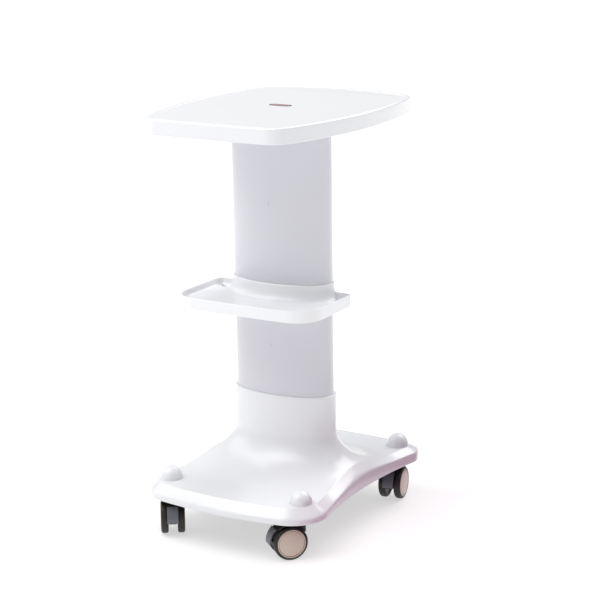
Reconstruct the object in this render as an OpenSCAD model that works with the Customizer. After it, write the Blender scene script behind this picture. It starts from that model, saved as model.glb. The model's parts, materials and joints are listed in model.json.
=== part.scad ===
// Rolling salon trolley: a moulded top plate and a small tray on an oval column,
// over a waisted base on four braked twin-wheel casters.
// Millimetres. The origin is on the floor under the column axis, +Z up, front towards -Y.

/* [Overall] */
// Height from the floor to the rim of the top plate
trolley_height = 780; // [640:1:1000]
// Height of the tray's rim above the floor
tray_height = 442; // [380:1:520]

/* [Top plate] */
// Width of the top plate at its widest
top_width = 375; // [310:1:460]
// Depth of the top plate, front to back
top_depth = 479; // [400:1:580]
// Height of the top plate's edge
top_edge = 28.8; // [22:0.1:40]
// Radius of the bowed sides, seen from above
top_side_r = 668; // [500:1:1200]
// Distance of the widest place behind the column axis
top_widest_y = 19; // [0:1:60]
// Radius of the bowed back edge, seen from above
top_back_r = 356; // [300:1:900]
// Radius of the front corners, seen from above
top_front_corner = 37.6; // [20:0.1:60]
// Radius of the back corners, seen from above
top_back_corner = 16; // [14:0.1:40]
// Width of the raised rim around the recessed face
top_rim = 13; // [8:0.5:14]
// Depth of the recessed face below the rim
top_recess = 1.2; // [1:0.1:2.5]
// Wall of the moulded top shell
top_wall = 4; // [3:0.1:6]
// Thickness of the panel that closes the shell from below
underpanel_t = 3; // [2:0.1:5]

/* [Badge] */
// Length of the plain oval badge
badge_length = 46; // [30:1:70]
// Width of the plain oval badge
badge_width = 18; // [12:1:26]
// Thickness of the badge, which lies flush in a pocket
badge_t = 1.2; // [0.6:0.1:1.6]

/* [Column] */
// Width of the upper column cover
column_width = 205; // [185:1:225]
// Depth of the upper column cover
column_depth = 103; // [96:1:120]
// How much narrower the lower cover is on each side
column_step = 1; // [0.5:0.1:3]
// Wall of both column covers
column_wall = 3; // [2:0.1:4]
// Outer diameter of the steel post inside the column
post_d = 48.3; // [40:0.1:54]
// Wall of the steel post
post_wall = 2; // [1.5:0.1:4]
// Height of the lower cover screw above the floor
low_screw_z = 338; // [280:1:370]
// Height of the upper cover screw above the floor
high_screw_z = 606; // [520:1:680]

/* [Tray] */
// Width of the tray
tray_width = 293; // [250:1:350]
// Reach of the tray in front of the column axis
tray_front = 160; // [130:1:200]
// Reach of the tray's back edge behind the column axis
tray_back = 8; // [0:1:20]
// Height of the tray's rim wall
tray_rim_h = 22; // [18:0.5:30]
// Depth of the tray's well
tray_well = 12; // [8:0.5:14]
// Width of the rim wall
tray_rim_w = 4; // [3:0.1:6]
// Radius of the tray's front corners
tray_front_corner = 50; // [20:1:60]
// Radius of the tray's back corners
tray_back_corner = 13; // [8:1:20]
// Thickness of the tray's floor
tray_floor = 3; // [2:0.1:5]
// Width of the neck that blends the tray into the column
neck_width = 12; // [6:0.5:18]
// Height of the neck's ring above the tray's rim
neck_rise = 16; // [8:0.5:30]

/* [Base cover] */
// Distance of the front corner centres from the middle
base_front_x = 115.8; // [105:0.1:130]
// Distance of the front corner centres in front of the column axis
base_front_y = 169.5; // [150:0.1:190]
// Radius of the front corners
base_front_corner = 67.5; // [62:0.1:75]
// Radius of the bowed front edge
base_front_r = 750; // [600:1:2000]
// Distance of the back corner centres from the middle
base_back_x = 139.5; // [125:0.1:150]
// Distance of the back corner centres behind the column axis
base_back_y = 181.5; // [165:0.1:200]
// Radius of the back corners
base_back_corner = 41.5; // [38:0.1:50]
// Radius of the bowed back edge
base_back_r = 2000; // [900:10:4000]
// Radius of the hollow sides
base_side_r = 895; // [600:1:1500]
// Height of the base cover from its lower edge to its flat top
base_height = 26.7; // [24:0.1:40]
// Width of the bevelled border
border_w = 18; // [12:0.5:22]
// Reach of the flare from the collar
flare_reach = 110; // [80:1:130]
// Height of the flare above the flat top
flare_height = 83; // [60:1:100]
// Height of the collar's rim above the flat top
collar_height = 147.2; // [120:0.1:180]
// Gap between the collar and the column cover
collar_gap = 0.4; // [0.3:0.1:1]
// Wall of the collar's rim
collar_wall = 3.6; // [3:0.1:5]
// Wall of the base cover
cover_wall = 3; // [2:0.1:4]
// Top of the side wall at the front edge, above the cover's lower edge
wall_front = 5; // [3:0.5:10]
// Top of the side wall at the waist, above the cover's lower edge
wall_waist = 24; // [14:0.5:26]
// Top of the side wall at the back edge, above the cover's lower edge
wall_back = 17; // [5:0.5:20]

/* [Chassis] */
// Thickness of the steel chassis plate
chassis_t = 3; // [2:0.5:6]
// Thickness of the plates at the two ends of the post
foot_t = 6; // [4:0.5:8]
// Room between the end plates and the column's inside at the two sides
plate_side_gap = 33.5; // [30:0.5:40]
// Room between the end plates and the column's inside at the front and back
plate_front_gap = 17.5; // [15:0.5:19]

/* [Casters] */
// Distance of each caster stem from the middle
caster_x = 140.5; // [130:0.1:150]
// Distance of the front stems in front of the column axis
caster_front_y = 181; // [160:1:200]
// Distance of the back stems behind the column axis
caster_back_y = 184; // [165:1:200]
// Diameter of each wheel
wheel_d = 63; // [50:0.5:80]
// Room between the top of the wheels and the base cover's lower edge
wheel_room = 7.9; // [7:0.1:20]
// Width of each tyre
tyre_w = 13.5; // [12:0.5:16]
// Thickness of the tyre's rubber
tyre_t = 5; // [3:0.5:6]
// Gap between the two wheels of a caster
wheel_gap = 17; // [16:0.5:22]
// Distance from the stem axis to the wheel axle
caster_trail = 26; // [24:0.5:30]
// Diameter of the wheel axle
axle_d = 6; // [5:0.5:8]
// Diameter of the stem's thread
thread_d = 10; // [8:1:12]
// Diameter of the stem's spigot in the housing
spigot_d = 11; // [10:0.5:12]
// Radial clearance of the parts that turn on each other
running_gap = 0.05; // [0.02:0.01:0.08]
// Width of the brake pedal's tongue
pedal_w = 20.6; // [18:0.2:28]
// Diameter of the white domes over the caster nuts
cap_d = 42; // [36:0.5:44]
// Height of the straight skirt below each dome
cap_skirt = 3; // [1:0.5:6]

/* [Hidden] */
CORNERS = ["fl", "fr", "br", "bl"];
CASTER_PARTS = ["stem", "housing", "axle", "pedal",
    "tyre_a", "core_a", "disc_a", "tyre_b", "core_b", "disc_b"];

white = [0.95, 0.95, 0.96];
steel = [0.62, 0.64, 0.67];
dark = [0.10, 0.09, 0.09];
beige = [0.76, 0.70, 0.61];
grey = [0.36, 0.36, 0.40];
rose = [0.62, 0.45, 0.46];

eps = 0.01;
screw_gap = 0.1;                        // around the shank of a fixed screw
panel_gap = 0.3;                        // around a panel, the badge and the column in the tray
seat_gap = 0.05;                        // around the post in the tray's bracket
ring_points = 72;

// Fasteners: shank radius, head radius, head height
panel_screw = [2, 4, 2.4];
cover_screw = [2, 3.2, 1];
tray_screw = [2.5, 4.5, 3];
head_bolt = [3, 5, 5];
foot_bolt = [4, 6.5, 5];
thread_grip = 12;                       // of a screw in its boss
boss_wall = 3;

// Heights that follow from the driving dimensions
base_clearance = wheel_d + wheel_room;
base_top = base_clearance + base_height;
collar_top = base_top + collar_height;
top_low = trolley_height - top_edge;
top_face = trolley_height - top_recess;
panel_low = top_low + 0.8;
panel_high = panel_low + underpanel_t;
shell_ceiling = trolley_height - top_wall;
head_low = panel_low - foot_t;
chassis_low = base_clearance + 1.1;      // just inside the cover's lower edge
chassis_high = chassis_low + chassis_t;
foot_high = chassis_high + foot_t;
tray_low = tray_height - tray_rim_h;
tray_face = tray_height - tray_well;
ledge_low = tray_face - tray_floor;
bracket_t = 4;
neck_lip = 2.5;
spigot_up = 6;                          // of the tray's screws above its floor
flare_top = base_top + flare_height;
chassis_gap = 1.5;                      // between the chassis and the cover's side wall

// Column ovals
up_a = column_width / 2;
up_b = column_depth / 2;
low_a = up_a - column_step;
low_b = up_b - column_step;
collar_a = low_a + collar_gap + collar_wall;
collar_b = low_b + collar_gap + collar_wall;
foot_w = 2 * (low_a - column_wall - plate_side_gap);
foot_d = 2 * (low_b - column_wall - plate_front_gap);

// Fastener patterns
plate_bolts = [for (x = [-1, 1]) for (y = [-1, 1]) [x * foot_w * 0.4, y * foot_d / 3]];
top_screw_spots = [for (s = [-1, 1]) for (q = [
    [0.29, -0.42], [0.41, -0.12], [0.42, 0.15], [0.34, 0.38]])
    [s * q[0] * top_width, q[1] * top_depth]];
stems = [[-caster_x, -caster_front_y], [caster_x, -caster_front_y],
    [caster_x, caster_back_y], [-caster_x, caster_back_y]];
trail_angles = [-55, -130, -80, -110];

// Caster sizes
wheel_r = wheel_d / 2;
wheel_in = wheel_gap / 2;
rim_r = wheel_r - tyre_t;
web_half = wheel_in - 1.5;
hood_in = wheel_r + 1.8;
hood_out = hood_in + 2.7;
hood_half = wheel_in + 7.5;
flange_t = 2.8;
flange_low = chassis_low - flange_t;
housing_top = flange_low - 0.2;
pivot_u = caster_trail + 6;
pivot_z = wheel_r + 25.5;
pivot_r = 2;
spigot_h = 22;                          // of the stem's spigot in the housing
boss_h = spigot_h + 2;
slot_half = 4.4;
arm_half = slot_half - 0.3;
tongue_in = wheel_r + 3.9;
tongue_t = 3;
nut_h = 8;
nut_flats = 17;
cap_wall = 2.5;

// ---- outlines -------------------------------------------------------------

// Points of an arc, without its last one
function arc(c, r, a0, a1, n) =
    [for (i = [0:n - 1]) let (a = a0 + (a1 - a0) * i / n) c + r * [cos(a), sin(a)]];
function bearing(from, to) = atan2(to[1] - from[1], to[0] - from[0]);
// Where circles of radius d1 about c1 and d2 about c2 meet, on the side given by s
function meet(c1, d1, c2, d2, s) =
    let (v = c2 - c1, d = norm(v), u = v / d, a = (d1 * d1 - d2 * d2 + d * d) / (2 * d),
         h = sqrt(max(0, d1 * d1 - a * a)))
    c1 + u * a + s * h * [-u[1], u[0]];
// The whole outline from its right half, which runs from the front middle to the back one
function both_sides(half, back) =
    concat(half, [back], [for (i = [len(half) - 1:-1:1]) [-half[i][0], half[i][1]]]);
// A plate with four bowed edges and rounded corners, drawn in by `inset`
function bowed(half_w, front, back, side_r, side_y, front_r, back_r, fc, bc, inset) =
    let (s = [half_w - side_r, side_y], f = [0, front + front_r], b = [0, back - back_r],
         kf = meet(s, side_r - fc, f, front_r - fc, -1),
         kb = meet(s, side_r - bc, b, back_r - bc, 1))
    both_sides(concat(
        arc(f, front_r - inset, -90, bearing(f, kf), 4),
        arc(kf, fc - inset, bearing(f, kf), bearing(s, kf), 10),
        arc(s, side_r - inset, bearing(s, kf), bearing(s, kb), 12),
        arc(kb, bc - inset, bearing(s, kb), bearing(b, kb), 6),
        arc(b, back_r - inset, bearing(b, kb), 90, 8)), [0, back - inset]);
function top_outline(inset) = bowed(top_width / 2, -top_depth / 2, top_depth / 2,
    top_side_r, top_widest_y, 4000, top_back_r, top_front_corner, top_back_corner, inset);
function tray_outline(inset) = bowed(tray_width / 2, -tray_front, tray_back,
    3000, -tray_front / 2, 3000, 3000, tray_front_corner, tray_back_corner, inset);
function base_outline(inset) =
    let (c1 = [base_front_x, -base_front_y], r1 = base_front_corner,
         c2 = [base_back_x, base_back_y], r2 = base_back_corner,
         f = [0, c1[1] + sqrt(pow(base_front_r - r1, 2) - c1[0] * c1[0])],
         b = [0, c2[1] - sqrt(pow(base_back_r - r2, 2) - c2[0] * c2[0])],
         s = meet(c1, base_side_r + r1, c2, base_side_r + r2, -1))
    both_sides(concat(
        arc(f, base_front_r - inset, -90, bearing(f, c1), 6),
        arc(c1, r1 - inset, bearing(f, c1), bearing(c1, s), 12),
        arc(s, base_side_r + inset, bearing(s, c1) + 360, bearing(s, c2), 12),
        arc(c2, r2 - inset, bearing(c2, s), bearing(b, c2), 8),
        arc(b, base_back_r - inset, bearing(b, c2), 90, 5)), [0, b[1] + base_back_r - inset]);
function oval(a, b) = arc([0, 0], 1, 0, 360, ring_points) * [[a, 0], [0, b]];

// ---- lofts ----------------------------------------------------------------

function lifted(points, z) = [for (p = points) [p[0], p[1], z]];
function side_faces(n, rings) = [for (k = [0:rings - 2]) for (i = [0:n - 1]) let (j = (i + 1) % n)
    each [[k * n + i, (k + 1) * n + i, k * n + j], [k * n + j, (k + 1) * n + i, (k + 1) * n + j]]];
// A solid through level rings, closed at both ends
module loft(rings) {
    n = len(rings[0]);
    m = len(rings);
    polyhedron([for (r = rings) each r], concat(side_faces(n, m),
        [[for (i = [0:n - 1]) i]], [[for (i = [n - 1:-1:0]) (m - 1) * n + i]]));
}
// A hollow solid whose rings run up the outside and back down the inside
module ring_shell(rings) {
    n = len(rings[0]);
    m = len(rings);
    polyhedron([for (r = rings) each r], [for (k = [0:m - 1]) for (i = [0:n - 1])
        let (l = (k + 1) % m, j = (i + 1) % n)
        each [[k * n + i, l * n + i, k * n + j], [k * n + j, l * n + i, l * n + j]]]);
}

module slab(points, z0, z1) {
    translate([0, 0, z0]) linear_extrude(z1 - z0) polygon(points);
}
module rod(r, z0, z1) {
    translate([0, 0, z0]) cylinder(r = r, h = z1 - z0, $fn = 48);
}
module at_spots(spots) {
    for (p = spots) translate([p[0], p[1], 0]) children();
}
// A screw that goes up from z0 to z1, with its head below z0
module fastener(kind, z0, z1) {
    rod(kind[0], z0 - eps, z1);
    rod(kind[1], z0 - kind[2], z0);
}

// ---- top ------------------------------------------------------------------

module top_shell() {
    color(white) {
        difference() {
            slab(top_outline(0), top_low, trolley_height);
            slab(top_outline(top_rim), top_face, trolley_height + 1);
            slab(top_outline(top_wall), top_low - 1, shell_ceiling);
            badge_plate(panel_gap, top_face - badge_t, trolley_height);
        }
        bosses(panel_screw, top_screw_spots);
        bosses(head_bolt, plate_bolts);
    }
}

// Posts under the shell that take the screws
module bosses(kind, spots) {
    difference() {
        at_spots(spots) rod(kind[0] + boss_wall, panel_high, shell_ceiling + eps);
        at_spots(spots) rod(kind[0] + screw_gap, panel_high - 1, panel_high + thread_grip + 2);
    }
}

module top_underpanel() {
    color(white) difference() {
        slab(top_outline(top_wall + panel_gap), panel_low, panel_high);
        at_spots(top_screw_spots) rod(panel_screw[0] + screw_gap, panel_low - 1, panel_high + 1);
        at_spots(plate_bolts) rod(head_bolt[0] + screw_gap, panel_low - 1, panel_high + 1);
    }
}

module top_screws() {
    color(steel) at_spots(top_screw_spots) fastener(panel_screw, panel_low, panel_high + thread_grip);
}

// The badge's shape, grown by `gap` for its pocket
module badge_plate(gap, z0, z1) {
    r = badge_width / 2;
    translate([0, 0, z0]) linear_extrude(z1 - z0) {
        square([badge_length - badge_width, badge_width + 2 * gap], center = true);
        for (s = [-1, 1]) translate([s * (badge_length / 2 - r), 0]) circle(r = r + gap, $fn = 64);
    }
}

module top_badge() {
    color(rose) badge_plate(0, top_face - badge_t, top_face);
}

// ---- post and its plates --------------------------------------------------

module end_plate(z0, z1, hole_r) {
    difference() {
        translate([-foot_w / 2, -foot_d / 2, z0]) cube([foot_w, foot_d, z1 - z0]);
        at_spots(plate_bolts) rod(hole_r, z0 - 1, z1 + 1);
    }
}

module head_plate() {
    color(steel) end_plate(head_low, panel_low, head_bolt[0] + screw_gap);
}

module head_bolts() {
    color(steel) at_spots(plate_bolts) fastener(head_bolt, head_low, panel_high + thread_grip);
}

module steel_post() {
    color(steel) difference() {
        rod(post_d / 2, foot_high, head_low);
        rod(post_d / 2 - post_wall, foot_high - 1, head_low + 1);
        for (z = [low_screw_z, high_screw_z])
            translate([0, 0, z]) rotate([90, 0, 0]) rod(cover_screw[0] + screw_gap, 1, post_d);
    }
}

module foot_plate() {
    color(steel) end_plate(chassis_high, foot_high, foot_bolt[0] + screw_gap);
}

module foot_bolts() {
    color(steel) at_spots(plate_bolts) fastener(foot_bolt, chassis_low, foot_high + 2);
}

// ---- column ---------------------------------------------------------------

module oval_tube(a, b, wall, z0, z1, screw_z) {
    difference() {
        slab(oval(a, b), z0, z1);
        slab(oval(a - wall, b - wall), z0 - 1, z1 + 1);
        translate([0, 0, screw_z]) rotate([90, 0, 0]) rod(cover_screw[0] + screw_gap, b / 2, b + 5);
    }
}

module column_upper() {
    color(white) oval_tube(up_a, up_b, column_wall, tray_face, panel_low, high_screw_z);
}

module column_lower() {
    color(white) oval_tube(low_a, low_b, column_wall, chassis_high, ledge_low, low_screw_z);
}

// One long screw through a cover's front into the post
module long_screw(face, z) {
    translate([0, 0, z]) rotate([90, 0, 0]) {
        rod(cover_screw[0], post_d / 2 - 5, face + eps);
        rod(cover_screw[1], face, face + cover_screw[2]);
    }
}

module column_screws() {
    color(white) {
        long_screw(up_b, high_screw_z);
        long_screw(low_b, low_screw_z);
    }
}

// ---- tray -----------------------------------------------------------------

// Half axes of the neck grow by `out` around the upper column
function neck_ring(out, z) = lifted(oval(up_a + panel_gap + out, up_b + panel_gap + out), z);

module neck_outside() {
    rise = tray_height + neck_rise - tray_face;
    loft(concat([neck_ring(neck_lip + neck_width, tray_low)],
        [for (a = [0:15:90]) neck_ring(neck_lip + neck_width * (1 - sin(a)),
            tray_face + rise - rise * cos(a))]));
}

module shelf_tray() {
    color(white) difference() {
        union() {
            difference() {
                slab(tray_outline(0), tray_low, tray_height);
                slab(tray_outline(tray_rim_w), tray_face, tray_height + 1);
                slab(tray_outline(tray_rim_w), tray_low - 1, ledge_low);
            }
            neck_outside();
        }
        difference() {
            slab(oval(up_a + panel_gap, up_b + panel_gap), tray_face, tray_height + neck_rise + 1);
            at_spots(plate_bolts) rod(tray_screw[0] + boss_wall + 0.5, tray_face - 1,
                tray_face + spigot_up + 2);
        }
        slab(oval(low_a + panel_gap, low_b + panel_gap), tray_low - 1, ledge_low);
        rod(post_d / 2 + 1, tray_low - 1, tray_height);
        at_spots(plate_bolts) rod(tray_screw[0] + screw_gap, tray_low, tray_face + spigot_up + 1);
    }
}

module tray_bracket() {
    color(steel) difference() {
        end_plate(ledge_low - bracket_t, ledge_low, tray_screw[0] + screw_gap);
        rod(post_d / 2 + seat_gap, ledge_low - bracket_t - 1, ledge_low + 1);
    }
}

module tray_screws() {
    color(steel) at_spots(plate_bolts)
        fastener(tray_screw, ledge_low - bracket_t, tray_face + spigot_up);
}

// ---- base -----------------------------------------------------------------

function ease(t) = let (u = min(1, max(0, t))) u * u * (3 - 2 * u);
function mix(a, b, t) = a + (b - a) * t;
// Height of the side wall's top at a place on the outline
function wall_top(y) = base_clearance + (y < top_widest_y
    ? mix(wall_front, wall_waist, ease((y + base_front_y + 45) / (base_front_y + 64)))
    : mix(wall_waist, wall_back, ease((y - top_widest_y) / 160)));
function collar_point(p, a, b) = let (f = bearing([0, 0], p),
    r = a * b / sqrt(pow(b * cos(f), 2) + pow(a * sin(f), 2))) r * [cos(f), sin(f)];
// Height of the flare at a distance from the collar
function flare(d) = let (q = min(1, max(0, (flare_reach - d) / flare_reach)))
    flare_height * (1 - sqrt(1 - q * q));
// Distance of a place from the collar, along the collar's normal
function from_collar(p) =
    let (e = collar_point(p, collar_a, collar_b),
         n = [e[0] / pow(collar_a, 2), e[1] / pow(collar_b, 2)])
    norm(p - e) * abs(n * e) / (norm(n) * norm(e));
function base_z(p) = base_top + flare(from_collar(p));

// Level rings of the cover's skin, drawn in and down by `t`
function cover_skin(t) =
    let (edge = base_outline(t), crest = base_outline(border_w + t),
         a = collar_a - (t > 0 ? collar_wall : 0), b = collar_b - (t > 0 ? collar_wall : 0))
    concat(
        [lifted(edge, base_clearance)],
        [for (q = [[0, 0], [0.28, 0.4], [0.62, 0.78]])
            let (o = base_outline(t + q[0] * border_w))
            [for (i = [0:len(o) - 1]) [o[i][0], o[i][1],
                mix(wall_top(edge[i][1]), base_z(crest[i]), q[1]) - t]]],
        [for (q = [1, 0.8, 0.62, 0.46, 0.32, 0.2, 0.11, 0.045])
            [for (p = crest) let (e = collar_point(p, a, b), m = mix(e, p, q))
                [m[0], m[1], base_top - t + flare(from_collar(p) * q)]]],
        [for (z = [flare_top - t, collar_top])
            [for (p = crest) let (e = collar_point(p, a, b)) [e[0], e[1], z]]]);
function turned(list) = [for (i = [len(list) - 1:-1:0]) list[i]];

module base_cover() {
    color(white) difference() {
        union() {
            ring_shell(concat(cover_skin(0), turned(cover_skin(cover_wall))));
            at_spots(stems) {
                rod(cap_d / 2 - 0.5, base_top - cover_wall, base_top);
                rod(12, chassis_high, base_top);
            }
        }
        at_spots(stems) rod(thread_d / 2 + screw_gap, chassis_low, base_top + 1);
        slab(oval(low_a + collar_gap, low_b + collar_gap), chassis_high, collar_top + 1);
    }
}

module base_chassis() {
    color(steel) difference() {
        slab(base_outline(cover_wall + chassis_gap), chassis_low, chassis_high);
        at_spots(stems) rod(thread_d / 2 + screw_gap, chassis_low - 1, chassis_high + 1);
        at_spots(plate_bolts) rod(foot_bolt[0] + screw_gap, chassis_low - 1, chassis_high + 1);
    }
}

module caster_nuts() {
    color(steel) at_spots(stems) difference() {
        translate([0, 0, base_top])
            cylinder(r = nut_flats / 2 / cos(30), h = nut_h, $fn = 6);
        rod(thread_d / 2 + screw_gap, base_top - 1, base_top + nut_h + 1);
    }
}

module caster_caps() {
    r = cap_d / 2;
    color(white) at_spots(stems) translate([0, 0, base_top]) {
        difference() {
            rod(r, 0, cap_skirt);
            rod(r - cap_wall, -1, cap_skirt + 1);
        }
        translate([0, 0, cap_skirt]) intersection() {
            difference() {
                sphere(r = r, $fn = 64);
                sphere(r = r - cap_wall, $fn = 64);
            }
            translate([-r, -r, 0]) cube([2 * r, 2 * r, r]);
        }
    }
}

// ---- casters --------------------------------------------------------------
// Each is drawn about its stem axis, with its wheels trailing along +X.

module at_caster(i) {
    translate([stems[i][0], stems[i][1], 0]) rotate([0, 0, trail_angles[i]]) children();
}
// Turns a drawing in the plane of the wheels into a plate of the given width
module across(width) {
    rotate([90, 0, 0]) linear_extrude(width, center = true) children();
}
module at_axle() {
    translate([caster_trail, 0, wheel_r]) children();
}
// The part of the wheels' plane between two bearings from the axle
module sector(a0, a1) {
    reach = 3 * wheel_r;
    translate([caster_trail, wheel_r]) polygon(concat([[0, 0]],
        [for (k = [0:4]) let (a = mix(a0, a1, k / 4)) reach * [cos(a), sin(a)]]));
}
module ring(r1, r2) {
    translate([caster_trail, wheel_r]) difference() {
        circle(r = r2, $fn = 96);
        circle(r = r1, $fn = 96);
    }
}

module stem() {
    color(steel) {
        rod(thread_d / 2, chassis_low - eps, base_top + nut_h + 1.5);
        rod(9, flange_low, chassis_low);
        rod(spigot_d / 2, housing_top - spigot_h, flange_low + eps);
    }
}

module housing() {
    color(dark) difference() {
        union() {
            across(2 * web_half) {
                intersection() {
                    ring(0.1, wheel_r - 1.5);
                    translate([-5, wheel_r - 6]) square([2 * wheel_r, 2 * wheel_r]);
                }
                intersection() {
                    ring(wheel_r - 3, hood_in + 0.5);
                    sector(50, 140);
                }
                translate([0, housing_top - boss_h]) square([caster_trail, boss_h - 2]);
            }
            across(2 * hood_half) intersection() {
                ring(hood_in, hood_out);
                sector(50, 140);
            }
            rod(wheel_in - 0.5, housing_top - boss_h, housing_top);
            rod(12.5, housing_top - 5, housing_top);
        }
        rod(spigot_d / 2 + running_gap, housing_top - spigot_h - 1, housing_top + 1);
        at_axle() rotate([90, 0, 0]) rod(axle_d / 2 + 0.02, -20, 20);
        across(2 * slot_half) intersection() {
            ring(18, hood_in);
            sector(0, 100);
        }
        translate([pivot_u, 0, pivot_z]) rotate([90, 0, 0])
            rod(pivot_r + running_gap, -web_half - 1, web_half + 1);
    }
}

module axle() {
    reach = wheel_in + tyre_w - 2.5;
    color(steel) at_axle() rotate([90, 0, 0]) rod(axle_d / 2, -reach, reach);
}

module pedal() {
    end = tongue_in + tongue_t;
    color(grey) {
        across(pedal_w) intersection() {
            ring(tongue_in, end);
            sector(-2, 46);
        }
        across(2 * arm_half) {
            polygon([[pivot_u - 3, pivot_z - 2], [pivot_u + 1, pivot_z - 4],
                [caster_trail + (tongue_in + 1) * cos(30), wheel_r + (tongue_in + 1) * sin(30)],
                [caster_trail + (tongue_in + 1) * cos(38), wheel_r + (tongue_in + 1) * sin(38)],
                [pivot_u + 2, pivot_z + 3], [pivot_u - 2, pivot_z + 3]]);
            translate([pivot_u, pivot_z]) circle(r = 4, $fn = 48);
        }
        translate([pivot_u, 0, pivot_z]) rotate([90, 0, 0]) rod(pivot_r, -web_half, web_half);
    }
}

// Places a turned wheel piece, drawn from its inner face outwards; s is 1 or -1
module on_wheel(s) {
    at_axle() rotate([-90 * s, 0, 0]) translate([0, 0, wheel_in])
        rotate_extrude($fn = 96) children();
}

module tyre(s) {
    k = tyre_t - 0.5;
    color(dark) on_wheel(s) intersection() {
        union() {
            translate([rim_r, k]) square([tyre_t, tyre_w - 2 * k]);
            translate([rim_r, 0]) square([tyre_t - k, tyre_w]);
            for (w = [k, tyre_w - k]) translate([wheel_r - k, w]) circle(r = k, $fn = 48);
        }
        translate([rim_r, 0]) square([tyre_t, tyre_w]);
    }
}

module core(s) {
    bore = axle_d / 2 + running_gap;
    color(dark) on_wheel(s) {
        translate([rim_r - 2.5, 0.5]) square([2.5, tyre_w - 1]);
        translate([bore, 1]) square([rim_r - 1 - bore, 3]);
        translate([bore, 0]) square([4, 12]);
    }
}

module disc(s) {
    color(beige) on_wheel(s) {
        translate([0, tyre_w - 0.5]) square([rim_r - 0.1, 1.1]);
        translate([rim_r - 5.5, tyre_w - 5]) square([2.8, 4.6]);
    }
}

top_shell();
top_underpanel();
top_screws();
top_badge();
head_plate();
head_bolts();
steel_post();
foot_plate();
foot_bolts();
column_upper();
column_lower();
column_screws();
shelf_tray();
tray_bracket();
tray_screws();
base_cover();
base_chassis();
caster_nuts();
caster_caps();
for (i = [0:3]) {
    c = CORNERS[i];
    at_caster(i) stem();
    at_caster(i) housing();
    at_caster(i) axle();
    at_caster(i) pedal();
    at_caster(i) tyre(1);
    at_caster(i) core(1);
    at_caster(i) disc(1);
    at_caster(i) tyre(-1);
    at_caster(i) core(-1);
    at_caster(i) disc(-1);
}
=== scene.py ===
"""Looks of the rolling salon trolley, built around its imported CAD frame. Metres, +Z up, front towards -Y."""

import json
import math

import bmesh
import bpy
from mathutils import Matrix, Vector


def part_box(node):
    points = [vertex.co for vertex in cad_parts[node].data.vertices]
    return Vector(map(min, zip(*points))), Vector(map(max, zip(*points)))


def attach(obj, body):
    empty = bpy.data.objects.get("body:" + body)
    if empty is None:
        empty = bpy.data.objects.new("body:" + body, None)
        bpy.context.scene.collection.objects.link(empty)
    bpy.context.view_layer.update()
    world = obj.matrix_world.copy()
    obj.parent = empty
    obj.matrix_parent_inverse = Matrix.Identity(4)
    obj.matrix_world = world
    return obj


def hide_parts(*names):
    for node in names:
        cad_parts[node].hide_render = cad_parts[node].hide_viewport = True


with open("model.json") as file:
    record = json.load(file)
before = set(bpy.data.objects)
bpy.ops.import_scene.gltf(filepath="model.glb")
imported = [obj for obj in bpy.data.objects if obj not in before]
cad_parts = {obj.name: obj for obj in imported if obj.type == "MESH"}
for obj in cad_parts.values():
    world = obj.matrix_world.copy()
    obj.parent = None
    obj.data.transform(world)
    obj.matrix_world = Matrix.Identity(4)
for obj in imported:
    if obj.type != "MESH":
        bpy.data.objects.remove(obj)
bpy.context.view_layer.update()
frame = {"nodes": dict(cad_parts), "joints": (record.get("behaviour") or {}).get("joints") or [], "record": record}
NODES = frame["nodes"]
JOINTS = {j["name"]: j for j in frame["joints"]}

# ---- sizes that the frame's boxes don't give ------------------------------

TOP_SIDE_R, TOP_WIDEST_Y, TOP_FRONT_R, TOP_BACK_R = 0.668, 0.019, 4.0, 0.356
TOP_FRONT_CORNER, TOP_BACK_CORNER = 0.0376, 0.016
TOP_RIM, TOP_RECESS, TOP_WALL = 0.013, 0.0012, 0.004
TRAY_EDGE_R, TRAY_FRONT_CORNER, TRAY_BACK_CORNER = 3.0, 0.050, 0.013
TRAY_BACK, TRAY_WELL, TRAY_RIM_H, TRAY_FLOOR, TRAY_RIM_W = 0.008, 0.012, 0.022, 0.003, 0.004
NECK_WIDTH, NECK_LIP, NECK_GAP = 0.012, 0.0025, 0.0003
FRONT_CENTRE, FRONT_CORNER, FRONT_R = (0.1158, -0.1695), 0.0675, 0.750
BACK_CENTRE, BACK_CORNER, BACK_R = (0.1395, 0.1815), 0.0415, 2.0
SIDE_R = 0.895
BASE_LOW, BASE_TOP, BORDER_W = 0.0709, 0.0976, 0.018
FLARE_REACH, FLARE_H = 0.110, 0.083
WALL_FRONT, WALL_WAIST, WALL_BACK = 0.005, 0.024, 0.017
EDGE_ROUND = ((0.0012, 0.0), (0.0004, 0.0004), (0.0, 0.0012))    # inset and lift of the cover's lower edge
BORDER_OUT = (0, 0.008, 0.03, 0.065, 0.11, 0.17, 0.25, 0.4, 0.6, 0.8, 0.99)
BORDER_UP = (0, 0.07, 0.145, 0.205, 0.26, 0.32, 0.39, 0.515, 0.675, 0.835, 0.992)
COVER_WALL, COLLAR_WALL, COLUMN_WALL = 0.003, 0.0039, 0.003
LIP_R, LIP_W, COLLAR_GAP = 0.0024, 0.0035, 0.0001
CAP_R, CAP_WALL, POST_R = 0.021, 0.0025, 0.0252
BADGE_GAP, BADGE_RAISE = 0.0003, 0.0004
AXLE_BORE, HUB_R, HUB_END = 0.00306, 0.007, 0.012
CORNERS = ("fl", "fr", "br", "bl")


# ---- outlines -------------------------------------------------------------

def arc(centre, radius, a0, a1, count):
    """Points of an arc, without its last one. Angles are in degrees."""
    steps = (math.radians(a0 + (a1 - a0) * i / count) for i in range(count))
    return [Vector((centre[0] + radius * math.cos(a), centre[1] + radius * math.sin(a)))
            for a in steps]


def bearing(start, end):
    return math.degrees(math.atan2(end[1] - start[1], end[0] - start[0]))


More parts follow.
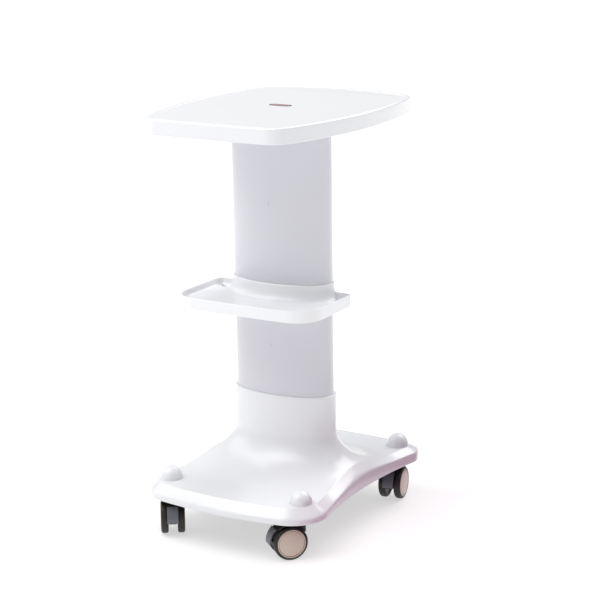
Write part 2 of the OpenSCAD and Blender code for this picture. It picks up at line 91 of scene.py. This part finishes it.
def meet(c1, d1, c2, d2, side):
    """Where circles of radius d1 about c1 and d2 about c2 meet, on the side given by 1 or -1."""
    c1, c2 = Vector(c1), Vector(c2)
    gap = (c2 - c1).length
    along = (c2 - c1) / gap
    a = (d1 * d1 - d2 * d2 + gap * gap) / (2 * gap)
    h = math.sqrt(max(0.0, d1 * d1 - a * a))
    return c1 + along * a + side * h * Vector((-along.y, along.x))


def both_sides(half, back):
    """The whole outline from its right half, which runs from the front middle to the back one."""
    return half + [Vector(back)] + [Vector((-p.x, p.y)) for p in reversed(half[1:])]


def bowed(half_w, front, back, side_r, side_y, front_r, back_r, fc, bc, inset=0.0):
    """A plate with four bowed edges and rounded corners, drawn in by inset."""
    s, f, b = (half_w - side_r, side_y), (0.0, front + front_r), (0.0, back - back_r)
    kf = meet(s, side_r - fc, f, front_r - fc, -1)
    kb = meet(s, side_r - bc, b, back_r - bc, 1)
    half = (arc(f, front_r - inset, -90, bearing(f, kf), 14)
            + arc(kf, fc - inset, bearing(f, kf), bearing(s, kf), 22)
            + arc(s, side_r - inset, bearing(s, kf), bearing(s, kb), 44)
            + arc(kb, bc - inset, bearing(s, kb), bearing(b, kb), 16)
            + arc(b, back_r - inset, bearing(b, kb), 90, 26))
    return both_sides(half, (0.0, back - inset))


def top_outline(inset):
    low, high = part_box("top_shell")
    return bowed(high.x, low.y, high.y, TOP_SIDE_R, TOP_WIDEST_Y, TOP_FRONT_R, TOP_BACK_R,
                 TOP_FRONT_CORNER, TOP_BACK_CORNER, inset)


def tray_outline(inset):
    low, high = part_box("shelf_tray")
    return bowed(high.x, low.y, TRAY_BACK, TRAY_EDGE_R, low.y / 2, TRAY_EDGE_R, TRAY_EDGE_R,
                 TRAY_FRONT_CORNER, TRAY_BACK_CORNER, inset)


def base_outline(inset):
    c1, r1, c2, r2 = FRONT_CENTRE, FRONT_CORNER, BACK_CENTRE, BACK_CORNER
    f = (0.0, c1[1] + math.sqrt((FRONT_R - r1) ** 2 - c1[0] ** 2))
    b = (0.0, c2[1] - math.sqrt((BACK_R - r2) ** 2 - c2[0] ** 2))
    s = meet(c1, SIDE_R + r1, c2, SIDE_R + r2, -1)
    half = (arc(f, FRONT_R - inset, -90, bearing(f, c1), 20)
            + arc(c1, r1 - inset, bearing(f, c1), bearing(c1, s), 34)
            + arc(s, SIDE_R + inset, bearing(s, c1) + 360, bearing(s, c2), 44)
            + arc(c2, r2 - inset, bearing(c2, s), bearing(b, c2), 26)
            + arc(b, BACK_R - inset, bearing(b, c2), 90, 18))
    return both_sides(half, (0.0, b[1] + BACK_R - inset))


def oval(a, b, count=180):
    return [Vector((a * p.x, b * p.y)) for p in arc((0, 0), 1.0, -90, 270, count)]


# ---- mesh building --------------------------------------------------------

def lifted(points, z):
    return [Vector((p.x, p.y, z)) for p in points]


def make(name, verts, faces, sharp=32):
    """A mesh object with smooth shading, split where faces meet at more than `sharp` degrees."""
    mesh = bpy.data.meshes.new(name)
    mesh.from_pydata([tuple(v) for v in verts], [], faces)
    bm = bmesh.new()
    bm.from_mesh(mesh)
    bmesh.ops.remove_doubles(bm, verts=bm.verts, dist=1e-7)
    bmesh.ops.recalc_face_normals(bm, faces=bm.faces)
    bm.to_mesh(mesh)
    bm.free()
    mesh.polygons.foreach_set("use_smooth", [True] * len(mesh.polygons))
    mesh.set_sharp_from_angle(angle=math.radians(sharp))
    mesh.update()
    obj = bpy.data.objects.new(name, mesh)
    bpy.context.scene.collection.objects.link(obj)
    return obj


def skin(name, rings, closed=False, caps=True, sharp=32):
    """A surface through rings with equal counts. closed joins the last ring to the first."""
    n, m = len(rings[0]), len(rings)
    verts = [v for ring in rings for v in ring]
    faces = []
    for k in range(m if closed else m - 1):
        here, there = k * n, ((k + 1) % m) * n
        for i in range(n):
            j = (i + 1) % n
            faces.append((here + i, here + j, there + j, there + i))
    if caps and not closed:
        faces.append(tuple(reversed(range(n))))
        faces.append(tuple(range((m - 1) * n, m * n)))
    return make(name, verts, faces, sharp)


def fillet(corner, start, end, radius, steps=5):
    """Points of a rounded corner in a profile, from the `start` side to the `end` side."""
    corner, start, end = Vector(corner), Vector(start), Vector(end)
    u, v = (start - corner).normalized(), (end - corner).normalized()
    half = u.angle(v) / 2
    reach = radius / math.tan(half)
    centre = corner + (u + v).normalized() * radius / math.sin(half)
    p0, p1 = corner + u * reach - centre, corner + v * reach - centre
    turn = p0.angle(p1)
    return [centre + (p0 * math.sin(turn * (1 - t)) + p1 * math.sin(turn * t)) / math.sin(turn)
            for t in (i / steps for i in range(steps + 1))]


def rounded(profile, radii, steps=5):
    """A profile with each corner rounded by its radius; a radius of 0 keeps the point."""
    out = []
    for i, (p, r) in enumerate(zip(profile, radii)):
        if r <= 0:
            out.append(Vector(p))
        else:
            out += fillet(p, profile[i - 1], profile[(i + 1) % len(profile)], r, steps)
    return out


def lathe(name, profile, count=96, sharp=32):
    """A solid of revolution about Z from a closed profile of (radius, height)."""
    verts, faces, rows = [], [], []
    for r, z in profile:
        if r < 1e-7:
            rows.append([len(verts)] * count)
            verts.append((0.0, 0.0, z))
        else:
            rows.append(list(range(len(verts), len(verts) + count)))
            verts += [(r * math.cos(math.tau * i / count), r * math.sin(math.tau * i / count), z)
                      for i in range(count)]
    for k in range(len(rows)):
        a, b = rows[k], rows[(k + 1) % len(rows)]
        if a[0] == a[1] and b[0] == b[1]:
            continue
        for i in range(count):
            j = (i + 1) % count
            face = []
            for v in (a[i], a[j], b[j], b[i]):
                if v not in face:
                    face.append(v)
            faces.append(tuple(face))
    return make(name, verts, faces, sharp)


def joined(obj, others, operation="UNION"):
    """obj with the others merged into it or cut out of it, as one clean mesh."""
    for other in others:
        mod = obj.modifiers.new("join", "BOOLEAN")
        mod.operation, mod.solver, mod.object = operation, "MANIFOLD", other
        apply_modifiers(obj)
        bpy.data.objects.remove(other)
    bm = bmesh.new()
    bm.from_mesh(obj.data)
    bmesh.ops.dissolve_degenerate(bm, dist=2e-5, edges=bm.edges)
    bmesh.ops.triangulate(bm, faces=[f for f in bm.faces if len(f.verts) > 4], ngon_method="BEAUTY")
    bm.to_mesh(obj.data)
    bm.free()
    obj.data.set_sharp_from_angle(angle=math.radians(32))
    return obj


def apply_modifiers(obj, sharp=32):
    graph = bpy.context.evaluated_depsgraph_get()
    mesh = bpy.data.meshes.new_from_object(obj.evaluated_get(graph))
    obj.modifiers.clear()
    obj.data = mesh
    mesh.polygons.foreach_set("use_smooth", [True] * len(mesh.polygons))
    mesh.set_sharp_from_angle(angle=math.radians(sharp))
    return obj


def even_shading(obj):
    """Shades each flat face as flat where it runs smoothly into small curved faces."""
    mod = obj.modifiers.new("even_shading", "WEIGHTED_NORMAL")
    mod.keep_sharp, mod.weight, mod.mode = True, 80, "FACE_AREA"
    return obj


# ---- materials ------------------------------------------------------------

class Nodes:
    """A short way to build one material's node tree."""

    def __init__(self, name):
        self.mat = bpy.data.materials.new(name)
        self.mat.use_nodes = True
        self.tree = self.mat.node_tree
        self.bsdf = self.tree.nodes["Principled BSDF"]
        self.place = self.add("ShaderNodeTexCoord").outputs["Object"]

    def add(self, kind, **values):
        node = self.tree.nodes.new(kind)
        for key, value in values.items():
            if hasattr(node, key):
                setattr(node, key, value)
            else:
                node.inputs[key.replace("_", " ")].default_value = value
        return node

    def link(self, out, into):
        self.tree.links.new(out, into)

    def noise(self, scale, detail=3.0, rough=0.5, stretch=None):
        node = self.add("ShaderNodeTexNoise", Scale=scale, Detail=detail, Roughness=rough)
        source = self.place
        if stretch:
            mapping = self.add("ShaderNodeMapping", Scale=stretch)
            self.link(source, mapping.inputs["Vector"])
            source = mapping.outputs["Vector"]
        self.link(source, node.inputs["Vector"])
        return node.outputs["Fac"]

    def spread(self, value, low, high, start=0.3, end=0.7):
        node = self.add("ShaderNodeMapRange")
        self.link(value, node.inputs["Value"])
        for key, number in (("From Min", start), ("From Max", end), ("To Min", low), ("To Max", high)):
            node.inputs[key].default_value = number
        return node.outputs["Result"]

    def blend_colours(self, factor, first, second):
        node = self.add("ShaderNodeMix", data_type="RGBA")
        self.link(factor, node.inputs["Factor"])
        node.inputs[6].default_value = (*first, 1.0)
        node.inputs[7].default_value = (*second, 1.0)
        return node.outputs[2]

    def bump(self, height, strength, distance):
        node = self.add("ShaderNodeBump", Strength=strength, Distance=distance)
        self.link(height, node.inputs["Height"])
        self.link(node.outputs["Normal"], self.bsdf.inputs["Normal"])


def plastic(name, colour, shade, rough, grain_scale, grain, coat=0.0, uneven=0.05):
    """Moulded plastic: slow colour drift, uneven gloss and a fine moulded grain."""
    n = Nodes(name)
    drift = n.spread(n.noise(7.0, 1.0), 0.0, 1.0, 0.1, 0.9)
    n.link(n.blend_colours(drift, colour, shade), n.bsdf.inputs["Base Color"])
    n.link(n.spread(n.noise(9.0, 1.0), rough - uneven, rough + uneven, 0.1, 0.9), n.bsdf.inputs["Roughness"])
    n.bump(n.noise(grain_scale, 2.0), grain, 0.0002)
    n.bsdf.inputs["Coat Weight"].default_value = coat
    n.bsdf.inputs["Coat Roughness"].default_value = 0.12
    return n.mat


def metal(name, colour, shade, rough, stretch):
    n = Nodes(name)
    drift = n.spread(n.noise(60.0, 5.0, stretch=stretch), 0.0, 1.0)
    n.link(n.blend_colours(drift, colour, shade), n.bsdf.inputs["Base Color"])
    n.link(n.spread(n.noise(220.0, 3.0, stretch=stretch), rough - 0.06, rough + 0.08),
           n.bsdf.inputs["Roughness"])
    n.bump(n.noise(900.0, 2.0, stretch=stretch), 0.12, 0.0001)
    n.bsdf.inputs["Metallic"].default_value = 1.0
    return n.mat


def gloss_white(name, colour, shade, rough, coat):
    return plastic(name, colour, shade, rough, 1800.0, 0.012, coat, 0.008)


# Each plastic: colour and the colour it drifts to, roughness, grain scale, grain depth, clear coat
MATERIALS = {
    "white_shell": gloss_white("white_abs", (0.80, 0.805, 0.83), (0.795, 0.80, 0.827), 0.24, 0.3),
    # Painted light: the tray gets a lighter copy of the shell white, standing in for light that the top plate's
    # shade takes from it.
    "tray_white_painted_light": gloss_white("white_abs_tray_painted_light", (0.85, 0.855, 0.88), (0.845, 0.85, 0.875), 0.24, 0.3),
    "white_column": gloss_white("column_abs", (0.65, 0.645, 0.695), (0.645, 0.641, 0.692), 0.28, 0.25),
    "badge": plastic("badge_rose", (0.42, 0.16, 0.19), (0.33, 0.12, 0.15), 0.35, 1500.0, 0.05, 0.3),
    "badge_rim": plastic("badge_graphite", (0.10, 0.09, 0.10), (0.08, 0.075, 0.08), 0.35, 1500.0, 0.05, 0.2),
    "zinc_steel": metal("zinc_steel", (0.62, 0.63, 0.65), (0.50, 0.51, 0.54), 0.32, (1.0, 1.0, 0.2)),
    "black_steel": plastic("powder_coat", (0.045, 0.045, 0.05), (0.03, 0.03, 0.034), 0.5, 1400.0, 0.35),
    "caster_plastic": plastic("caster_nylon", (0.014, 0.012, 0.011), (0.022, 0.019, 0.017),
                              0.42, 1600.0, 0.2),
    "brake_plastic": plastic("brake_nylon", (0.14, 0.145, 0.165), (0.12, 0.125, 0.145),
                             0.34, 1500.0, 0.15, 0.15),
    "tyre": plastic("tyre_rubber", (0.010, 0.0075, 0.006), (0.015, 0.011, 0.009), 0.48, 2200.0, 0.25),
    "wheel_disc": plastic("disc_champagne", (0.62, 0.54, 0.445), (0.60, 0.52, 0.425),
                          0.34, 1500.0, 0.08, 0.2),
}


def dress(obj, slot):
    obj.data.materials.clear()
    obj.data.materials.append(MATERIALS[slot])
    return obj


def piece(obj, slot, body, *nodes):
    """Gives a new piece its material and its body, and hides the CAD nodes that it stands for."""
    dress(obj, slot)
    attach(obj, body)
    if nodes:
        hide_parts(*nodes)
    return obj


# ---- top plate ------------------------------------------------------------

def top_plate():
    low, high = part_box("top_shell")
    ceiling = high.z - TOP_WALL
    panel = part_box("top_underpanel")[1].z
    profile = [(TOP_WALL, panel), (TOP_WALL, low.z), (0.0, low.z), (0.0, high.z),
               (TOP_RIM - 0.0016, high.z), (TOP_RIM, high.z - TOP_RECESS),
               (TOP_RIM + 0.004, high.z - TOP_RECESS)]
    radii = [0, 0.0008, 0.0018, 0.0042, 0.0012, 0.0014, 0]
    rings = [lifted(top_outline(p.x), p.y) for p in rounded(profile, radii, 6)]
    obj = skin("top_shell_moulding", [lifted(top_outline(TOP_WALL), ceiling)] + rings)
    low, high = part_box("top_badge")
    pocket = [pill(-BADGE_GAP, z) for z in (low.z - 0.0002, high.z + 0.002)]
    joined(obj, [skin("pocket", pocket)], "DIFFERENCE")
    even_shading(obj)
    return piece(obj, "white_shell", "trolley_frame", "top_shell")


def pill(inset, z):
    """The badge's outline, drawn in by inset."""
    low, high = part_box("top_badge")
    b = (high.y - low.y) / 2
    straight = high.x - b
    right = arc((straight, 0), b - inset, -90, 90, 32) + [Vector((straight, b - inset))]
    return lifted(right + [Vector((-p.x, -p.y)) for p in right], z)


def badge():
    """A dark bezel and a rose face that stands a little above it."""
    low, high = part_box("top_badge")
    crown = high.z + BADGE_RAISE
    profile = rounded([(0, low.z), (0, crown), (0.0026, crown), (0.0030, low.z + 0.0004),
                       (0.004, low.z + 0.0004)], [0, 0.0004, 0.0003, 0, 0])
    obj = skin("top_badge_bezel", [pill(p.x, p.y) for p in profile])
    piece(obj, "badge", "trolley_frame", "top_badge")
    dress(obj, "badge_rim")
    profile = rounded([(0.0032, low.z + 0.0005), (0.0032, crown + 0.0002), (0.006, crown + 0.0002)],
                      [0, 0.0004, 0])
    face = skin("top_badge_face", [pill(p.x, p.y) for p in profile])
    return piece(face, "badge", "trolley_frame")


# ---- column ---------------------------------------------------------------

def column(node):
    low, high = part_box(node)
    a, b, wall = high.x, high.y, COLUMN_WALL
    profile = rounded([(wall, low.z), (0, low.z), (0, high.z), (wall, high.z)], [0, 0.0008, 0.0008, 0])
    rings = [lifted(oval(a - p.x, b - p.x, 240), p.y) for p in profile]
    obj = skin(node + "_tube", rings, closed=True)
    return piece(obj, "white_column", "trolley_frame", node)


# ---- tray -----------------------------------------------------------------

def tray():
    low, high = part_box("shelf_tray")
    rim = low.z + TRAY_RIM_H
    face = rim - TRAY_WELL
    under = face - TRAY_FLOOR
    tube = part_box("column_upper")[1]
    a, b = tube.x + NECK_GAP, tube.y + NECK_GAP
    profile = [(TRAY_RIM_W + 0.012, under), (TRAY_RIM_W, under), (TRAY_RIM_W, low.z), (0, low.z), (0, rim),
               (TRAY_RIM_W, rim), (TRAY_RIM_W + 0.0012, face), (TRAY_RIM_W + 0.012, face)]
    radii = [0, 0.001, 0.0008, 0.0016, 0.0019, 0.0018, 0.0045, 0]
    rings = [lifted(tray_outline(p.x), p.y) for p in rounded(profile, radii, 6)]
    body = skin("shelf_tray_moulding", rings)
    lip = NECK_LIP
    steps = [90 * i / 16 for i in range(17)]
    neck = [(lip + NECK_WIDTH * (1 - math.sin(math.radians(s))),
             face + (high.z - face) * (1 - math.cos(math.radians(s)))) for s in steps]
    profile = ([(lip + NECK_WIDTH - 0.0015, low.z), (lip + NECK_WIDTH, low.z + 0.0015)] + neck[:-1]
               + [(lip * math.cos(math.radians(t)), high.z - lip * (1 - math.sin(math.radians(t))))
                  for t in range(0, 85, 14)])
    rings = [lifted(oval(a + q, b + q, 240), z) for q, z in profile]
    neck_obj = skin("neck", rings)
    joined(body, [neck_obj])
    joined(body, [skin("hole", [lifted(oval(a, b, 240), z) for z in (face, high.z + 0.02)]),
                  skin("under", [lifted(oval(a - 0.001, b - 0.001, 240), z) for z in (low.z - 0.01, under)]),
                  skin("bore", [lifted(oval(POST_R, POST_R, 96), z) for z in (low.z, high.z)])],
           "DIFFERENCE")
    even_shading(body)
    piece(body, "white_shell", "trolley_frame", "shelf_tray")
    # Painted light: the tray is the shells' plastic, drawn in a lighter white to make up for the shade on it.
    return dress(body, "tray_white_painted_light")


# ---- base cover -----------------------------------------------------------

def ease(t):
    t = min(1.0, max(0.0, t))
    return t * t * (3 - 2 * t)


def mix(a, b, t):
    return a + (b - a) * t


def wall_top(y):
    reach = -FRONT_CENTRE[1]
    if y < TOP_WIDEST_Y:
        return BASE_LOW + mix(WALL_FRONT, WALL_WAIST, ease((y + reach + 0.045) / (reach + 0.064)))
    return BASE_LOW + mix(WALL_WAIST, WALL_BACK, ease((y - TOP_WIDEST_Y) / 0.160))


def on_oval(p, a, b):
    f = math.atan2(p.y, p.x)
    r = a * b / math.hypot(b * math.cos(f), a * math.sin(f))
    return Vector((r * math.cos(f), r * math.sin(f)))


def flare(d):
    q = min(1.0, max(0.0, (FLARE_REACH - d) / FLARE_REACH))
    return FLARE_H * (1 - math.sqrt(1 - q * q))


def base_cover():
    low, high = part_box("base_cover")
    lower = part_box("column_lower")[1]
    outer = (lower.x + COLLAR_GAP + COLLAR_WALL, lower.y + COLLAR_GAP + COLLAR_WALL)

    def from_collar(p):
        e = on_oval(p, *outer)
        normal = Vector((e.x / outer[0] ** 2, e.y / outer[1] ** 2))
        return (p - e).length * abs(normal.dot(e)) / (normal.length * e.length)

    def sheet(t):
        """The rings of the outer (t = 0) or inner face, from the lower edge to the collar's rim."""
        edge, crest = base_outline(t), base_outline(BORDER_W + t)
        a, b = (outer[0] - (COLLAR_WALL if t else 0), outer[1] - (COLLAR_WALL if t else 0))
        rings = []
        for inset, lift in ((0.0, 0.0),) if t else EDGE_ROUND:
            rings.append(lifted(base_outline(t + inset), BASE_LOW + lift))
        for q, z in zip((0, 0.3, 0.65), (0, 0.4, 0.78)) if t else zip(BORDER_OUT, BORDER_UP):
            o = base_outline(t + q * BORDER_W)
            levels = [mix(wall_top(e.y), BASE_TOP + flare(from_collar(c)), z) - t for e, c in zip(edge, crest)]
            rings.append([Vector((p.x, p.y, level)) for p, level in zip(o, levels)])
        count = 40 if not t else 12
        for k in range(count + 1):
            q = (1 - k / count) ** 1.7
            if q < 0.012:
                continue
            ring = []
            for p in crest:
                m = on_oval(p, a, b).lerp(p, q)
                ring.append(Vector((m.x, m.y, BASE_TOP - t + flare(from_collar(p) * q))))
            rings.append(ring)
        ovals = [on_oval(p, a, b) for p in crest]
        rings.append(lifted(ovals, BASE_TOP + FLARE_H - t))
        if t:
            rings.append(lifted(ovals, high.z))
            return rings
        for k in range(7):
            q, z = LIP_W * (1 - math.cos(math.pi * k / 12)), high.z - LIP_R * (1 - math.sin(math.pi * k / 12))
            rings.append(lifted([on_oval(p, a - q, b - q) for p in crest], z))
        return rings

    obj = skin("base_cover_moulding", sheet(0.0) + list(reversed(sheet(COVER_WALL))), closed=True, sharp=38)
    return piece(obj, "white_shell", "trolley_frame", "base_cover")


def stem_places():
    return [(JOINTS[c + "_swivel"]["pos_m"][0], JOINTS[c + "_swivel"]["pos_m"][1]) for c in CORNERS]


def caps():
    """Four domes over the caster nuts, each with a thin flange."""
    low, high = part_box("caster_caps")
    low, spring = low.z, high.z - CAP_R
    inner, outer = CAP_R - CAP_WALL, CAP_R - 0.0006
    dome = [(outer * math.cos(math.radians(t)), spring + outer * math.sin(math.radians(t)))
            for t in range(0, 91, 5)]
    hollow = [(inner * math.cos(math.radians(t)), spring + inner * math.sin(math.radians(t)))
              for t in range(90, -1, -6)] + [(inner, low)]
    foot = [(CAP_R, low), (CAP_R, low + 0.0010), (CAP_R - 0.0003, low + 0.0013), (outer, low + 0.0013)]
    profile = foot + dome
    profile[-1] = (0.0, profile[-1][1])
    hollow[0] = (0.0, hollow[0][1])
    first = None
    for (x, y), corner in zip(stem_places(), CORNERS):
        obj = lathe(corner + "_nut_dome", profile + hollow, 96)
        obj.data.transform(Matrix.Translation((x, y, 0)))
        piece(obj, "white_shell", "trolley_frame")
        first = first or obj
    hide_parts("caster_caps")


# ---- casters --------------------------------------------------------------

def caster_frame(corner):
    """The place and turn of a caster's own axes: X along the trail, Y along the axle."""
    place = JOINTS[corner + "_swivel"]["pos_m"]
    axle = JOINTS[corner + "_wheel_a_spin"]["axis"]
    angle = math.atan2(-axle[0], axle[1])
    return Matrix.Translation((place[0], place[1], 0)) @ Matrix.Rotation(angle, 4, "Z")


def span(node, axes):
    """The box of a CAD node, measured in other axes."""
    back = axes.inverted() @ NODES[node].matrix_world
    points = [back @ v.co for v in NODES[node].data.vertices]
    return [Vector([pick(p[k] for p in points) for k in range(3)]) for pick in (min, max)]


def wheel(corner, letter, side):
    """One wheel, drawn with Z along its axle, outwards from its inner face."""
    body = f"{corner}_wheel_{letter}"
    axle = JOINTS[f"{corner}_wheel_{letter}_spin"]["pos_m"]
    stem = caster_frame(corner)
    hub_axes = (Matrix.Translation((axle[0], axle[1], axle[2])) @ stem.to_3x3().to_4x4()
                @ Matrix.Rotation(-side * math.pi / 2, 4, "X"))
    low, high = span(f"{corner}_tyre_{letter}", hub_axes)
    radius, width = high.x, high.z - low.z
    rim = span(f"{corner}_core_{letter}", hub_axes)[1].x
    turn = hub_axes @ Matrix.Translation((0, 0, low.z))
    tread = rounded([(rim, 0), (radius, 0), (radius, width), (rim, width)],
                    [0.0006, 0.0042, 0.0042, 0.0006], 7)
    tyre = lathe(body + "_tyre", tread, 128)
    tyre.data.transform(turn)
    piece(tyre, "tyre", body, f"{corner}_tyre_{letter}")

    hub, bore, band = HUB_R, AXLE_BORE, rim - 0.0025
    core_profile = rounded([(bore, 0), (hub, 0), (hub, 0.0012), (band, 0.0022), (band, 0.0005),
                            (rim, 0.0005), (rim, width - 0.0005), (band, width - 0.0005),
                            (band, 0.004), (hub, 0.004), (hub, HUB_END), (bore, HUB_END)],
                           [0, 0.0004, 0.0005, 0.0006, 0.0003, 0, 0, 0, 0, 0, 0.0003, 0], 3)
    core = lathe(body + "_core", core_profile, 96)
    core.data.transform(turn)
    piece(core, "caster_plastic", body, f"{corner}_core_{letter}")

    edge = rim - 0.0001
    face = rounded([(0, width - 0.0022), (edge - 0.0026, width - 0.0022), (edge - 0.0026, width - 0.0005),
                    (edge, width - 0.0005), (edge, width + 0.0006), (edge - 0.0018, width + 0.0006),
                    (edge - 0.0021, width - 0.0010), (edge - 0.0031, width - 0.0010),
                    (edge - 0.0034, width + 0.0001), (0, width + 0.0005)],
                   [0, 0, 0, 0.0002, 0.0005, 0.0004, 0.0002, 0.0002, 0.0004, 0], 4)
    disc = lathe(body + "_disc", face, 96)
    disc.data.transform(turn)
    piece(disc, "wheel_disc", body, f"{corner}_disc_{letter}")


# ---- scene ----------------------------------------------------------------

def stage():
    size = 12.0
    corners = [(-size, -size, 0), (size, -size, 0), (size, size, 0), (-size, size, 0)]
    floor = make("floor", corners, [(0, 1, 2, 3)])
    n = Nodes("studio_floor")
    n.link(n.blend_colours(n.spread(n.noise(0.7, 2.0), 0.0, 1.0), (0.50, 0.50, 0.50), (0.49, 0.49, 0.49)),
           n.bsdf.inputs["Base Color"])
    n.bsdf.inputs["Roughness"].default_value = 0.9
    # The floor glows as well as reflecting. Its emission is a fill light for the trolley from below and around,
    # and it keeps the open floor white. It is 0.57 near the trolley and rises to 0.95 far off.
    n.bsdf.inputs["Emission Color"].default_value = (1.0, 1.0, 1.0, 1.0)
    near = n.add("ShaderNodeVectorMath", operation="LENGTH")
    n.link(n.place, near.inputs[0])
    n.link(n.spread(near.outputs["Value"], 0.57, 0.95, 0.7, 2.4), n.bsdf.inputs["Emission Strength"])
    floor.data.materials.append(n.mat)
    world = bpy.data.worlds.new("studio")
    bpy.context.scene.world = world
    world.use_nodes = True
    world.node_tree.nodes["Background"].inputs["Color"].default_value = (1.0, 1.0, 1.0, 1.0)
    world.node_tree.nodes["Background"].inputs["Strength"].default_value = 0.5


def area(name, place, target, size, energy, colour=(1.0, 1.0, 1.0)):
    light = bpy.data.lights.new(name, "AREA")
    light.shape, light.size, light.energy, light.color = "SQUARE", size, energy, colour
    obj = bpy.data.objects.new(name, light)
    obj.location = place
    obj.rotation_euler = (Vector(target) - Vector(place)).to_track_quat("-Z", "Y").to_euler()
    bpy.context.scene.collection.objects.link(obj)


def card(name, corners, colour):
    """A studio card that only lights and reflects: the camera doesn't see it."""
    obj = make(name, corners, [(0, 1, 2, 3)])
    n = Nodes(name)
    n.link(n.blend_colours(n.spread(n.noise(1.5, 2.0), 0.0, 1.0), colour, tuple(0.96 * c for c in colour)),
           n.bsdf.inputs["Base Color"])
    n.bsdf.inputs["Roughness"].default_value = 1.0
    obj.data.materials.append(n.mat)
    obj.visible_camera = False
    obj.visible_shadow = False


def camera():
    azimuth, elevation, roll = map(math.radians, (31.744, 14.534, -1.030))
    distance, aim = 3.5305, Vector((0, 0, 0.4139))
    back = Vector((math.sin(azimuth) * math.cos(elevation), -math.cos(azimuth) * math.cos(elevation),
                   math.sin(elevation)))
    right = Vector((math.cos(azimuth), math.sin(azimuth), 0))
    up = back.cross(right)
    data = bpy.data.cameras.new("camera")
    data.sensor_width, data.lens = 36.0, 113.848
    data.shift_x = 0.02688
    obj = bpy.data.objects.new("camera", data)
    turned = Matrix((right, up, back)).transposed() @ Matrix.Rotation(roll, 3, "Z")
    obj.matrix_world = Matrix.Translation(aim + back * distance) @ turned.to_4x4()
    bpy.context.scene.collection.objects.link(obj)
    bpy.context.scene.camera = obj


camera()
top_plate()
badge()
column("column_upper")
column("column_lower")
tray()
base_cover()
caps()
for corner in CORNERS:
    wheel(corner, "a", 1)
    wheel(corner, "b", -1)
SLOT_OF = {s["node"]: s["material_slot"] for s in frame["record"]["subparts"]}
for name, node in NODES.items():
    dress(node, SLOT_OF[name])
dress(NODES["column_screws"], "white_column")
stage()
card("mauve_card", [(0.25, -0.30, 0.0), (0.25, 0.36, 0.0), (0.25, 0.36, 0.13), (0.25, -0.30, 0.13)],
     (0.44, 0.19, 0.32))
area("overhead", (-0.9, -0.8, 3.0), (0, 0, 0.4), 2.4, 46.0)
area("front", (-1.5, -2.4, 3.6), (0, 0, 0.5), 2.4, 20.0)
area("right", (2.2, 0.2, 3.0), (0, 0, 0.3), 2.0, 7.0)
area("left", (-3.0, -0.6, 2.0), (0, 0, 0.4), 2.0, 16.0)
area("back", (0.6, 2.6, 3.2), (0, 0, 0.4), 2.4, 66.0)
area("highlight_a", (-0.2, -2.0, 2.6), (0, -0.1, 0.2), 0.25, 1.2)
area("highlight_b", (-1.3, -2.2, 1.9), (0, -0.1, 0.2), 0.25, 1.0)
bpy.context.scene.view_settings.view_transform = "Standard"
